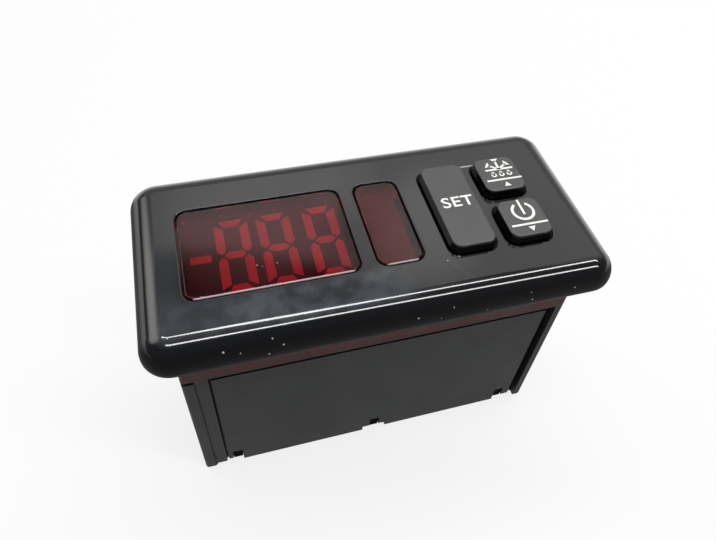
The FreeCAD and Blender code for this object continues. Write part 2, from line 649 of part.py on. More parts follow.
def make_terminal_cages(low_x, ways):
    """Clamping cages that the screws draw up on the wires."""
    half_x = WIRE_ENTRY_LENGTH / 2 - SLIDE_FIT
    half_y = WIRE_ENTRY_HEIGHT / 2 - SLIDE_FIT
    low_z = REAR_RECESS + CAGE_SET_BACK
    high_z = low_z + CAGE_LENGTH
    cages = []
    for x in way_places(low_x, ways):
        body = span_box((x - half_x, ENTRY_Y - half_y, low_z), (x + half_x, ENTRY_Y + half_y, high_z))
        bore_x = half_x - CAGE_WALL
        bore_y = half_y - CAGE_WALL
        bore_low = (x - bore_x, ENTRY_Y - bore_y, low_z - PAST)
        bore = span_box(bore_low, (x + bore_x, ENTRY_Y + bore_y, high_z + PAST))
        base = point(x, ENTRY_Y, TERMINAL_SCREW_Z)
        hole = Part.makeCylinder(SCREW_SHANK_RADIUS + SLIDE_FIT, WIRE_ENTRY_HEIGHT, base, point(0, 1, 0))
        cages.append(body.cut([bore, hole]))
    return Part.makeCompound(cages)


def make_terminal_screws(low_x, ways):
    """Slotted screws, sunk below the top of the block."""
    head_top = TERMINAL_TOP_Y - SCREW_SUNK
    head_low = head_top - SCREW_HEAD_HEIGHT
    tip = ENTRY_Y + SCREW_TIP_RISE
    along = point(0, 1, 0)
    screws = []
    for x in way_places(low_x, ways):
        seat = point(x, head_low, TERMINAL_SCREW_Z)
        head = Part.makeCylinder(SCREW_HEAD_RADIUS, SCREW_HEAD_HEIGHT, seat, along)
        shank = Part.makeCylinder(SCREW_SHANK_RADIUS, head_low - tip, point(x, tip, TERMINAL_SCREW_Z), along)
        half = SCREW_SLOT_WIDTH / 2
        reach = SCREW_HEAD_RADIUS + PAST
        slot_low = (x - half, head_top - SCREW_SLOT_DEPTH, TERMINAL_SCREW_Z - reach)
        slot = span_box(slot_low, (x + half, head_top + PAST, TERMINAL_SCREW_Z + reach))
        screws.append(head.fuse(shank).cut(slot).removeSplitter())
    return Part.makeCompound(screws)


def tooth_track(side):
    """Channel of a short wall with its row of ratchet teeth, as the cut that makes it."""
    face_x = side * BODY_LENGTH / 2
    floor_x = face_x - side * TRACK_DEPTH
    low_z = TRACK_MARGIN
    high_z = SEAM_Z - TRACK_MARGIN
    xs = sorted((floor_x, face_x + side * PAST))
    channel = span_box((xs[0], -TRACK_WIDTH / 2, low_z), (xs[1], TRACK_WIDTH / 2, high_z))
    teeth = []
    count = int((high_z - low_z) / TOOTH_PITCH)
    half = TOOTH_WIDTH / 2
    for index in range(count):
        z = low_z + index * TOOTH_PITCH
        root_x = floor_x - side * SEAT_GAP
        corners = [point(root_x, -half, z), point(floor_x + side * TOOTH_HEIGHT, -half, z)]
        corners += [point(floor_x, -half, z + TOOTH_PITCH), point(root_x, -half, z + TOOTH_PITCH)]
        face = Part.Face(Part.makePolygon(corners + corners[:1]))
        teeth.append(face.extrude(point(0, TOOTH_WIDTH, 0)))
    return channel.cut(teeth)


def guide_ribs(side):
    """Pair of ribs on a short wall that hold one edge of the main board."""
    wall_x = side * (CASE_INNER_LENGTH / 2 + SEAT_GAP)
    xs = sorted((wall_x, side * (MAIN_BOARD_LENGTH / 2 - GUIDE_GRIP)))
    near_y = MAIN_BOARD_BACK_Y - SLIDE_FIT
    far_y = MAIN_BOARD_Y + SLIDE_FIT
    top_z = SEAM_Z - LIP_ROOT + SEAT_GAP
    near = span_box((xs[0], near_y - GUIDE_WALL, MAIN_BOARD_LOW_Z), (xs[1], near_y, top_z))
    far = span_box((xs[0], far_y, MAIN_BOARD_LOW_Z), (xs[1], far_y + GUIDE_WALL, top_z))
    return [near, far]


def make_case():
    outline = frame_place(BODY_LENGTH, BODY_WIDTH)
    body = slab(outline, BODY_CORNER_RADIUS, 0.0, SEAM_Z)
    body = body.makeFillet(REAR_EDGE_ROUND, edges_at(body, 0.0))
    cavity_x = CASE_INNER_LENGTH / 2
    cavity_y = CASE_INNER_WIDTH / 2
    body = body.cut(span_box((-cavity_x, -cavity_y, -PAST), (cavity_x, cavity_y, SEAM_Z + PAST)))
    lip_low_z = SEAM_Z - LIP_ROOT
    lip = slab(frame_place(LIP_LENGTH, LIP_WIDTH), BODY_CORNER_RADIUS, lip_low_z, LIP_TOP_Z)
    root = span_box((-cavity_x, -cavity_y, lip_low_z), (cavity_x, cavity_y, SEAM_Z))
    bore_place = frame_place(LIP_LENGTH - 2 * LIP_WALL, LIP_WIDTH - 2 * LIP_WALL)
    hollow = slab(bore_place, BODY_CORNER_RADIUS, lip_low_z - PAST, LIP_TOP_Z + PAST)
    body = body.fuse(lip.fuse(root).cut(hollow))
    opening_low = (OPEN_LEFT_X, NEAR_FACE_Y - PAST, -PAST)
    opening_high = (OPEN_RIGHT_X, NEAR_INNER_Y, SEAM_Z)
    body = body.cut(span_box(opening_low, opening_high))
    root_low = (OPEN_LEFT_X - PANEL_RIM_REACH - SLIDE_FIT, NEAR_INNER_Y - SEAT_GAP, SEAM_Z - LIP_ROOT - PAST)
    root_high = (CASE_INNER_LENGTH / 2, NEAR_INNER_Y + PANEL_RIM + LIP_WALL, SEAM_Z)
    body = body.cut(span_box(root_low, root_high))
    for side in (-1, 1):
        body = body.fuse(guide_ribs(side))
        body = body.cut(tooth_track(side))
    strip_x = STRIP_LEFT - BODY_LENGTH / 2
    seam_low = (-BODY_LENGTH / 2 - PAST, NEAR_FACE_Y - PAST, SEAM_Z - STRIP_SEAM)
    body = body.cut(span_box(seam_low, (strip_x, NEAR_FACE_Y + STRIP_SEAM_DEPTH, SEAM_Z + SEAT_GAP)))
    half = STRIP_GROOVE / 2
    groove_low = (strip_x - half, NEAR_FACE_Y - PAST, -PAST)
    body = body.cut(span_box(groove_low, (strip_x + half, NEAR_FACE_Y + STRIP_GROOVE, SEAM_Z - STRIP_SEAM)))
    bite_low = (strip_x + half, NEAR_FACE_Y - PAST, -PAST)
    body = body.cut(span_box(bite_low, (OPEN_LEFT_X + PAST, NEAR_INNER_Y, NOTCH_RELIEF)))
    for x in way_places(POWER_LOW_X, POWER_WAYS) + way_places(PROBE_LOW_X, PROBE_WAYS):
        base = point(x, TERMINAL_TOP_Y, TERMINAL_SCREW_Z)
        body = body.cut(Part.makeCylinder(SCREW_ACCESS_RADIUS, BODY_WIDTH / 2, base, point(0, 1, 0)))
    return body.removeSplitter()


def make_side_panel():
    """Flat panel in the near long side, with a rim behind it and notches in its rear edge."""
    plate = span_box((PANEL_LOW_X, PANEL_FACE_Y, 0.0), (PANEL_HIGH_X, NEAR_INNER_Y, PANEL_TOP_Z))
    rim_low = (OPEN_LEFT_X - PANEL_RIM_REACH, NEAR_INNER_Y, NOTCH_RELIEF)
    rim_high = (CASE_INNER_LENGTH / 2 - SLIDE_FIT, RIM_BACK_Y, SEAM_Z - SLIDE_FIT)
    body = plate.fuse(span_box(rim_low, rim_high))
    half = NOTCH_WIDTH / 2
    cuts = []
    for x in NOTCH_PLACES:
        notch_low = (x - half, PANEL_FACE_Y - PAST, -PAST)
        cuts.append(span_box(notch_low, (x + half, NEAR_INNER_Y, NOTCH_HEIGHT)))
        passage_low = (x - half, NEAR_INNER_Y - SEAT_GAP, -PAST)
        cuts.append(span_box(passage_low, (x + half, RIM_BACK_Y + PAST, COVER_TOP_Z + SLIDE_FIT)))
    first_x, middle_x, last_x = NOTCH_PLACES
    wide = NOTCH_RELIEF_WIDTH / 2
    reliefs = [(PANEL_LOW_X - PAST, first_x), (last_x, PANEL_HIGH_X + PAST)]
    reliefs.append((middle_x - wide, middle_x + wide))
    for start_x, end_x in reliefs:
        relief_low = (start_x, PANEL_FACE_Y - PAST, -PAST)
        cuts.append(span_box(relief_low, (end_x, NEAR_INNER_Y, NOTCH_RELIEF)))
    return body.cut(cuts).removeSplitter()


def make_rear_cover():
    """Plate inside the rear edge, cut round the terminals, with a tongue in each notch."""
    place = (0.0, PANEL_RIM / 2, CASE_INNER_LENGTH, CASE_INNER_WIDTH - PANEL_RIM)
    body = slab(place, BODY_CORNER_RADIUS, REAR_RECESS, COVER_TOP_Z, -SLIDE_FIT)
    half = TERMINALS_LENGTH / 2 + LOOSE_FIT
    gap_low = (-half, MAIN_BOARD_Y - LOOSE_FIT, REAR_RECESS - PAST)
    body = body.cut(span_box(gap_low, (half, BODY_WIDTH / 2, COVER_TOP_Z + PAST)))
    tongue_half = NOTCH_WIDTH / 2 - SLIDE_FIT
    for x in NOTCH_PLACES:
        tongue_low = (x - tongue_half, NEAR_INNER_Y - TONGUE_THICKNESS, REAR_RECESS)
        root = span_box(tongue_low, (x + tongue_half, RIM_BACK_Y + PANEL_RIM, COVER_TOP_Z))
        hook_high = (x + tongue_half, NEAR_INNER_Y - SLIDE_FIT, REAR_RECESS + TONGUE_HEIGHT)
        body = body.fuse([root, span_box(tongue_low, hook_high)])
    return body.removeSplitter()


def make_pieces():
    """Every piece of the controller under its own name."""
    pieces = {
        "bezel": make_bezel(),
        "lens_frame": make_lens_frame(),
        "display_board": make_display_board(),
        "digit_display": make_digit_display(),
        "digit_segments": make_digit_segments(),
        "indicator_light_box": make_light_box(),
        "indicator_lights": make_lights(),
        "microcontroller": make_microcontroller(),
        "link_header": make_link_header(),
        "link_pins": make_link_pins(),
        "main_board": make_main_board(),
        "transformer_core": make_transformer_core(),
        "transformer_winding": make_transformer_winding(),
        "filter_capacitor": make_filter_capacitor(),
        "compressor_relay": make_relay(COMPRESSOR_LOW_X),
        "defrost_relay": make_relay(DEFROST_LOW_X),
        "buzzer": make_buzzer(),
        "case": make_case(),
        "side_panel": make_side_panel(),
        "rear_cover": make_rear_cover(),
    }
    for name, place in KEYS.items():
        pieces[name + "_key"] = make_key(place)
        pieces[name + "_switch"] = make_switch(place)
        pieces[name + "_plunger"] = make_plunger(place)
    for name, low_x, ways in (("power", POWER_LOW_X, POWER_WAYS), ("probe", PROBE_LOW_X, PROBE_WAYS)):
        pieces[name + "_terminal_block"] = make_terminal_block(low_x, ways)
        pieces[name + "_terminal_cages"] = make_terminal_cages(low_x, ways)
        pieces[name + "_terminal_screws"] = make_terminal_screws(low_x, ways)
    return pieces


os.makedirs("parts", exist_ok=True)
for node, shape in make_pieces().items():
    shape.exportStep("parts/" + node + ".step")
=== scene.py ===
"""Looks of a panel temperature controller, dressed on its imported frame.

Lengths in the classes are millimetres unless their docstring says otherwise; meshes are made in metres.
"""

from __future__ import annotations

import json
import logging
import math
from dataclasses import dataclass
from enum import Enum, IntEnum
from typing import Any

import bmesh
import bpy
from mathutils import Matrix, Vector

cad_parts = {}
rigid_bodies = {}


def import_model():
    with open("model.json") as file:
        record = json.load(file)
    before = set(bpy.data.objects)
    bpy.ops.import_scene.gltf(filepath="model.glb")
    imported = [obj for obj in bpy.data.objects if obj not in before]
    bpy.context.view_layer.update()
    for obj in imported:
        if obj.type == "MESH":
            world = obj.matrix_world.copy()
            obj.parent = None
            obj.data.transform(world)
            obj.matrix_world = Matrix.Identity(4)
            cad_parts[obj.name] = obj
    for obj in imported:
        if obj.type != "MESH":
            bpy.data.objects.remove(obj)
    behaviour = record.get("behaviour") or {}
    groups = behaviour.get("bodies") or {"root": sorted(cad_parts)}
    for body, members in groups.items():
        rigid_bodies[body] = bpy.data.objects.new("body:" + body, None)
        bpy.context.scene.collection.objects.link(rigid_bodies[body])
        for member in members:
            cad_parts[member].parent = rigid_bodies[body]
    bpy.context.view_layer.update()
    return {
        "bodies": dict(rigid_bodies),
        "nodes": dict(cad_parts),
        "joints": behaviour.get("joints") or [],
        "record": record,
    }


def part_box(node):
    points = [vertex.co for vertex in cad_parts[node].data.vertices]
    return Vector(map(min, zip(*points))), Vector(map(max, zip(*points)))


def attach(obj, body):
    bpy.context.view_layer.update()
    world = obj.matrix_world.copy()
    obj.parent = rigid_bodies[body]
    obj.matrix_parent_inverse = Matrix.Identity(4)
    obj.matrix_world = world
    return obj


LOG = logging.getLogger("controller")
MM = 0.001

Colour = tuple[float, float, float]
Point2 = tuple[float, float]
Point3 = tuple[float, float, float]

WHITE: Colour = (1.0, 1.0, 1.0)
# Range that a cloudy pattern's values spread over, and how fine a moulded grain is.
CLOUD: Point2 = (0.3, 0.7)
GRAIN_DETAIL = 2.0
# Level at which the shader mirrors as much as its IOR says.
SPECULAR_LEVEL = 0.5
# Points of the print closer than this, in metres, become one.
MERGE_DISTANCE = 1e-7


class Body(Enum):
    """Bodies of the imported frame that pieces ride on."""

    SET_KEY = "set_key"
    UP_KEY = "up_key"
    DOWN_KEY = "down_key"


class Pointing(Enum):
    """Which way a printed triangle points, in degrees."""

    UP = 90.0
    DOWN = -90.0


class MixSocket(IntEnum):
    """Places of the sockets on a node that mixes colours."""

    SHARE = 0
    FIRST = 6
    SECOND = 7
    RESULT = 2


class NodeGraph:
    """Builder for the nodes of one material or of the surroundings."""

    def __init__(self, owner: bpy.types.Material | bpy.types.World, shader: str, where: str) -> None:
        """Start from the owner's own shader.

        Args:
            owner: Material or world that holds the nodes.
            shader: Name of its shader node.
            where: Texture coordinate that the patterns read.
        """
        owner.use_nodes = True
        self.owner = owner
        self.tree = owner.node_tree
        self.shader = self.tree.nodes[shader]
        self.coordinates = self.node("ShaderNodeTexCoord")
        self.where = self.coordinates.outputs[where]

    @classmethod
    def for_material(cls, name: str) -> NodeGraph:
        """Graph of a new material, on Object coordinates."""
        return cls(bpy.data.materials.new(name), "Principled BSDF", "Object")

    @classmethod
    def for_world(cls, name: str) -> NodeGraph:
        """Graph of new surroundings, on the direction looked in."""
        return cls(bpy.data.worlds.new(name), "Background", "Generated")

    def node(self, kind: str, inputs: dict[str | int, Any] | None = None, **settings: Any) -> bpy.types.Node:
        """Add a node.

        Args:
            kind: Blender's name of the node type.
            inputs: Values or sockets for its inputs, by name or index.
            settings: Properties of the node itself.

        Returns:
            The new node.
        """
        made = self.tree.nodes.new(kind)
        for key, value in settings.items():
            setattr(made, key, value)
        for key, value in (inputs or {}).items():
            self.feed(made, key, value)
        return made

    def feed(self, node: bpy.types.Node, key: str | int, value: Any) -> None:
        """Set an input to a value, or link it to a socket.

        Args:
            node: Node that owns the input.
            key: Name or index of the input.
            value: Plain value or output socket.
        """
        if isinstance(value, bpy.types.NodeSocket):
            self.tree.links.new(value, node.inputs[key])
        else:
            node.inputs[key].default_value = value

    def surface(self, key: str, value: Any) -> None:
        """Set or link one input of the shader."""
        self.feed(self.shader, key, value)

    def noise(self, size: float, detail: float = 3.0) -> bpy.types.NodeSocket:
        """Cloudy pattern.

        Args:
            size: Width of its patches in millimetres.
            detail: Octaves of finer noise.

        Returns:
            Value socket from about 0.3 to 0.7.
        """
        inputs = {"Vector": self.where, "Scale": 1.0 / (size * MM), "Detail": detail}
        return self.node("ShaderNodeTexNoise", inputs).outputs["Fac"]

    def ramp(
        self, value: bpy.types.NodeSocket, low: float, high: float, start: float = 0.0, end: float = 1.0
    ) -> bpy.types.NodeSocket:
        """Smooth step of a value between two limits.

        Args:
            value: Socket to read.
            low: Value that gives start.
            high: Value that gives end.
            start: Result at the low limit.
            end: Result at the high limit.

        Returns:
            Value socket.
        """
        inputs = {"Value": value, "From Min": low, "From Max": high, "To Min": start, "To Max": end}
        return self.node("ShaderNodeMapRange", inputs, interpolation_type="SMOOTHSTEP").outputs["Result"]

    def math(self, operation: str, first: Any, second: Any = 0.0) -> bpy.types.NodeSocket:
        """One step of arithmetic on values or sockets."""
        return self.node("ShaderNodeMath", {0: first, 1: second}, operation=operation).outputs[0]

    def times(self, first: Any, second: Any) -> bpy.types.NodeSocket:
        """Product of two values."""
        return self.math("MULTIPLY", first, second)

    def plus(self, first: Any, second: Any) -> bpy.types.NodeSocket:
        """Sum of two values."""
        return self.math("ADD", first, second)

    def most(self, first: Any, second: Any) -> bpy.types.NodeSocket:
        """Larger of two values."""
        return self.math("MAXIMUM", first, second)

    def blend(
        self, share: bpy.types.NodeSocket, first: Any, second: Any, mode: str = "MIX"
    ) -> bpy.types.NodeSocket:
        """Mix two colours.

        Args:
            share: Share of the second colour.
            first: Colour or socket at share 0.
            second: Colour or socket at share 1.
            mode: How the second colour is laid on the first.

        Returns:
            Colour socket.
        """
        made = self.node("ShaderNodeMix", data_type="RGBA", blend_type=mode)
        self.feed(made, MixSocket.SHARE, share)
        self.feed(made, MixSocket.FIRST, (*first, 1.0) if isinstance(first, tuple) else first)
        self.feed(made, MixSocket.SECOND, (*second, 1.0) if isinstance(second, tuple) else second)
        return made.outputs[MixSocket.RESULT]

    def axis(self, index: int) -> bpy.types.NodeSocket:
        """One part of the place or direction."""
        return self.node("ShaderNodeSeparateXYZ", {"Vector": self.where}).outputs[index]

    def step(self, index: int, span: Point2, start: float = 0.0, end: float = 1.0) -> bpy.types.NodeSocket:
        """Smooth step along one axis.

        Args:
            index: Axis, 0 to 2.
            span: Places that give start and end.
            start: Result at the first place.
            end: Result at the last place.

        Returns:
            Value socket.
        """
        return self.ramp(self.axis(index), span[0] * MM, span[1] * MM, start, end)

    def distance(self, place: Vector) -> bpy.types.NodeSocket:
        """Distance from a place in metres."""
        made = self.node("ShaderNodeVectorMath", {0: self.where, 1: place}, operation="DISTANCE")
        return made.outputs["Value"]

    def seen(self) -> bpy.types.NodeSocket:
        """Mark what is seen straight, mirrored or through a clear piece.

        Returns:
            Value socket, 1 where it is seen and 0 where it only lights.
        """
        path = self.node("ShaderNodeLightPath").outputs
        mirrored = self.most(path["Is Glossy Ray"], path["Is Transmission Ray"])
        return self.most(path["Is Camera Ray"], mirrored)

    def along(self, start: Vector, way: Vector) -> bpy.types.NodeSocket:
        """How far a place lies from a start, measured along one way.

        Args:
            start: Where the measure begins.
            way: Unit vector to measure along.

        Returns:
            Value socket.
        """
        offset = self.node("ShaderNodeVectorMath", {0: self.where, 1: start}, operation="SUBTRACT")
        inputs = {0: offset.outputs["Vector"], 1: way}
        return self.node("ShaderNodeVectorMath", inputs, operation="DOT_PRODUCT").outputs["Value"]

    def relief(
        self, height: bpy.types.NodeSocket, depth: float, before: bpy.types.NodeSocket | None = None
    ) -> bpy.types.NodeSocket:
        """Bump the surface.

        Args:
            height: Pattern of the relief.
            depth: Height of a full step in millimetres.
            before: Normal that the relief is added to.

        Returns:
            Normal socket.
        """
        made = self.node("ShaderNodeBump", {"Height": height, "Strength": 1.0, "Distance": depth * MM})
        if before is not None:
            self.feed(made, "Normal", before)
        return made.outputs["Normal"]


@dataclass(frozen=True)
class Finish:
    """Moulded or painted surface with a grain, uneven gloss and a slight unevenness of colour."""

    name: str
    colour: Colour
    gloss: Point2 = (0.42, 0.58)
    mottle: float = 0.12
    patch: float = 6.0
    grain: float = 0.35
    grain_depth: float = 0.004
    metallic: float = 0.0
    ior: float = 1.5

    def material(self) -> bpy.types.Material:
        """Build the finish.

        Returns:
            Its material.
        """
        graph = NodeGraph.for_material(self.name)
        cloud = graph.noise(self.patch)
        light = self.toned(1.0 + self.mottle)
        dark = self.toned(1.0 - self.mottle)
        graph.surface("Base Color", graph.blend(graph.ramp(cloud, *CLOUD), dark, light))
        graph.surface("Roughness", graph.ramp(cloud, *CLOUD, *self.gloss))
        graph.surface("Metallic", self.metallic)
        graph.surface("IOR", self.ior)
        graph.surface("Normal", graph.relief(graph.noise(self.grain, GRAIN_DETAIL), self.grain_depth))
        self.detail(graph)
        return graph.owner

    def toned(self, factor: float) -> Colour:
        """Colour of the finish, lightened or darkened by a factor."""
        return tuple(part * factor for part in self.colour)

    def detail(self, graph: NodeGraph) -> None:
        """Add what only this finish has; a plain finish has nothing more."""


@dataclass(frozen=True)
class Speck:
    """Grain of dust on the front, by its place and radius; its core is the share that is full."""

    x: float
    y: float
    radius: float
    core: float = 0.4

    def mark(self, graph: NodeGraph, place: Vector) -> bpy.types.NodeSocket:
        """Where the grain lies.

        Args:
            graph: Nodes of the dusty material.
            place: Its middle on the surface, in metres.

        Returns:
            Value socket, 1 on the grain.
        """
        reach = self.radius * MM
        return graph.ramp(graph.distance(place), reach, reach * self.core)


@dataclass(frozen=True)
class PaleStreak:
    """Pale streak on the front frame, full between two shares of its length; used for a scuff and for a
    painted glint.
    """

    start: Point2
    end: Point2
    width: float
    share: float
    full: Point2 = (0.2, 0.6)


@dataclass(frozen=True)
class DustyFinish(Finish):
    """Finish with single grains of dust on it."""

    dust: Colour = (0.62, 0.62, 0.60)
    specks: tuple[Speck, ...] = ()

    def skin(self, x: float, y: float) -> Vector:
        """Place on the dusty surface, in metres, which each such finish knows."""
        raise NotImplementedError

    def dusty(self, graph: NodeGraph) -> bpy.types.NodeSocket:
        """Where the grains of dust lie.

        Args:
            graph: Nodes of the material.

        Returns:
            Value socket, 1 on a grain.
        """
        share: Any = 0.0
        for speck in self.specks:
            share = graph.most(share, speck.mark(graph, self.skin(speck.x, speck.y)))
        return share


@dataclass(frozen=True)
class GlossMoulding(DustyFinish):
    """Black moulding with a lacquered front, satin sides, a faint waviness, a scuff, a painted glint, dust,
    and a film of dust with painted reflection.
    """

    edge_round: float = 4.0
    side_top_z: float = 50.9
    side_fade: float = 0.9
    side_gloss: float = 0.42
    side_dull: float = 0.2
    lacquer_gloss: float = 0.06
    # Film and smear lighten the flat front. They are partly dust and partly painted reflection where the
    # mirrored room is dark, bluish like the mirrored ceiling.
    film: Colour = (0.014, 0.014, 0.015)
    film_depth: Point2 = (0.5, 0.05)
    smear: Colour = (0.062, 0.066, 0.077)
    smear_y: Point2 = (-8.5, -11.0)
    smear_x: Point2 = (7.0, -3.0)
    smear_patch: float = 3.5
    smear_detail: float = 6.0
    smear_cloud: Point2 = (0.35, 0.65)
    smear_least: float = 0.35
    thinner_x: Point2 = (-30.0, -22.0)
    thinner: float = 0.5
    # Painted reflection: the left end of the front is lightened towards the smear colour.
    end_x: Point2 = (-30.8, -33.8)
    end_y: Point2 = (6.0, -3.0)
    end_share: float = 0.3
    wave: float = 14.0
    wave_depth: float = 0.003
    wave_detail: float = 0.0
    dust_gloss: float = 0.5
    scratches: tuple[PaleStreak, ...] = (
        PaleStreak((10.1, -10.6), (13.8, -15.8), 0.16, 0.035),
        # Painted glint: a light streak on the front between the far ends of the tall key and the up key.
        PaleStreak((19.9, 10.15), (23.9, 10.10), 0.34, 0.55),
    )
    specks: tuple[Speck, ...] = (
        Speck(-27.4, -18.30, 0.22),
        Speck(-25.0, -18.65, 0.14),
        Speck(-20.9, -18.98, 0.18),
        Speck(-20.1, -17.90, 0.16),
        Speck(-18.6, -18.63, 0.18),
        Speck(2.7, -18.73, 0.20),
        Speck(6.6, -18.97, 0.10),
        Speck(8.7, -18.43, 0.14),
        Speck(14.6, -18.99, 0.12),
        Speck(22.3, -18.48, 0.12),
        Speck(22.6, -18.96, 0.16),
        Speck(30.3, -18.78, 0.16),
        Speck(12.4, -10.10, 0.16),
        Speck(10.2, -10.60, 0.14),
    )

    def skin(self, x: float, y: float) -> Vector:
        """Place on the frame's front, in metres.

        Args:
            x: Along the frame.
            y: Across it, negative on the near side.

        Returns:
            The place on the flat face, or on the round of its near edge.
        """
        low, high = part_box("bezel")
        beyond = low.y / MM + self.edge_round - y
        drop = self.edge_round - math.sqrt(self.edge_round**2 - max(beyond, 0.0) ** 2)
        return Vector((x * MM, y * MM, high.z - drop * MM))

    def scratched(self, graph: NodeGraph) -> bpy.types.NodeSocket:
        """Where the scuff and the painted glint run.

        Args:
            graph: Nodes of the material.

        Returns:
            Value socket, up to each streak's share of the dust colour.
        """
        share: Any = 0.0
        for streak in self.scratches:
            start, end = self.skin(*streak.start), self.skin(*streak.end)
            way = (end - start).normalized()
            aside = way.cross(Vector((0.0, 0.0, 1.0))).normalized()
            reach = (end - start).length
            line = graph.ramp(graph.math("ABSOLUTE", graph.along(start, aside)), streak.width * MM, 0.0)
            begun = graph.ramp(graph.along(start, way), 0.0, reach * streak.full[0])
            ended = graph.ramp(graph.along(start, way), reach, reach * streak.full[1])
            run = graph.times(graph.times(line, streak.share), graph.times(begun, ended))
            share = graph.plus(share, run)
        return share

    def filmed(self, graph: NodeGraph) -> bpy.types.NodeSocket:
        """Colour of a thin film of dust with painted reflection in it, smeared along the near side and the
        left end of the front.

        Args:
            graph: Nodes of the material.

        Returns:
            Colour socket.
        """
        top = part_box("bezel")[1].z
        near = graph.step(1, self.smear_y)
        left = graph.step(0, self.smear_x)
        patches = graph.noise(self.smear_patch, self.smear_detail)
        patchy = graph.ramp(patches, *self.smear_cloud, self.smear_least, 1.0)
        thin = graph.step(0, self.thinner_x, self.thinner, 1.0)
        near_share = graph.times(graph.times(near, left), graph.times(patchy, thin))
        end = graph.step(0, self.end_x, 0.0, self.end_share)
        end_near = graph.step(1, self.end_y)
        # Dust film and smear with painted reflection; the left end's share is painted reflection only.
        film = graph.blend(graph.most(near_share, graph.times(end, end_near)), self.film, self.smear)
        film_low, film_high = self.film_depth
        flat = graph.ramp(graph.axis(2), top - film_low * MM, top - film_high * MM)
        return graph.blend(flat, self.colour, film)

    def detail(self, graph: NodeGraph) -> None:
        """Add waviness, the film of dust with painted reflection on the flat front, the satin sides, dust,
        the scuff and the painted glint.

        Args:
            graph: Nodes of the material.
        """
        wavy = graph.relief(graph.noise(self.wave, self.wave_detail), self.wave_depth)
        grained = graph.relief(graph.noise(self.grain, GRAIN_DETAIL), self.grain_depth, wavy)
        graph.surface("Normal", grained)
        graph.surface("Coat Normal", grained)
        dusty = self.dusty(graph)
        marked = graph.plus(dusty, self.scratched(graph))
        # Dust, the scuff and the painted glint lie over the film with its painted reflection.
        graph.surface("Base Color", graph.blend(marked, self.filmed(graph), self.dust))
        cloud = graph.ramp(graph.noise(self.patch), *CLOUD, *self.gloss)
        side_z = self.side_top_z * MM
        side = graph.ramp(graph.axis(2), side_z, side_z - self.side_fade * MM)
        graph.surface("Specular IOR Level", graph.plus(SPECULAR_LEVEL, graph.times(side, -self.side_dull)))
        rough = graph.most(graph.times(side, self.side_gloss), graph.times(dusty, self.dust_gloss))
        graph.surface("Roughness", graph.plus(cloud, rough))
        graph.surface("Coat Weight", graph.math("SUBTRACT", 1.0, graph.most(side, dusty)))
        graph.surface("Coat Roughness", self.lacquer_gloss)


@dataclass(frozen=True)
class SmokedLens(DustyFinish):
    """Clear red moulding with a frosted skirt, a painted red glow inside it, a painted highlight along its
    windows' near edge, and dust.
    """

    skirt: Colour = (0.13, 0.036, 0.036)
    # Painted glow: away from its outer faces the frosted moulding is bright red, standing in for light
    # scattered inside the clear moulding.
    inner: Colour = (0.90, 0.28, 0.24)
    inner_half: Point2 = (34.5, 13.1)
    inner_fade: float = 0.2
    skirt_top_z: float = 49.2
    skirt_fade: float = 0.2
    skirt_gloss: float = 0.65
    skirt_body: float = 0.45
    # Painted highlight: a pale, frosted band along the windows' near top edge stands in for light caught by
    # that edge.
    worn: Colour = (0.80, 0.62, 0.62)
    worn_y: float = -9.08
    worn_z: float = 51.42
    worn_fade: Point2 = (0.06, 0.05)
    worn_gloss: float = 0.3
    haze: Point2 = (0.35, 0.7)
    dust: Colour = (0.36, 0.31, 0.31)
    specks: tuple[Speck, ...] = (
        Speck(-20.2, -4.75, 0.20),
        Speck(-19.4, -5.15, 0.12),
        Speck(-17.0, -5.00, 0.18),
    )

    def skin(self, x: float, y: float) -> Vector:
        """Place on the front of the windows, in metres."""
        return Vector((x * MM, y * MM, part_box("lens_frame")[1].z))

    def detail(self, graph: NodeGraph) -> None:
        """Make the moulding clear, frost its skirt, paint its red glow and the highlight along its windows'
        near edge, and lay the dust.

        Args:
            graph: Nodes of the material.
        """
        frosted = graph.step(2, (self.skirt_top_z, self.skirt_top_z - self.skirt_fade))
        # Band of the painted highlight along the windows' near top edge.
        fade_y, fade_z = self.worn_fade
        near = graph.step(1, (self.worn_y + fade_y, self.worn_y - fade_y))
        upper = graph.step(2, (self.worn_z - fade_z, self.worn_z + fade_z))
        worn = graph.times(near, upper)
        # Painted glow: the frosted moulding turns bright red away from its outer faces.
        painted_glow_share: Any = 1.0
        for index, half in enumerate(self.inner_half):
            aside = graph.math("ABSOLUTE", graph.axis(index))
            outer, inner = half + self.inner_fade, half - self.inner_fade
            painted_glow_share = graph.times(painted_glow_share, graph.ramp(aside, outer * MM, inner * MM))
        skirt = graph.blend(painted_glow_share, self.skirt, self.inner)
        tint = graph.blend(frosted, self.colour, skirt)
        dusty = self.dusty(graph)
        edged = graph.blend(worn, tint, self.worn)
        graph.surface("Base Color", graph.blend(dusty, edged, self.dust))
        cloudy = graph.plus(graph.most(worn, dusty), graph.times(frosted, self.skirt_body))
        graph.surface("Transmission Weight", graph.math("SUBTRACT", 1.0, cloudy))
        smear = graph.ramp(graph.noise(self.patch), *self.haze, *self.gloss)
        rough = graph.plus(graph.times(frosted, self.skirt_gloss), graph.times(worn, self.worn_gloss))
        graph.surface("Roughness", graph.plus(smear, rough))


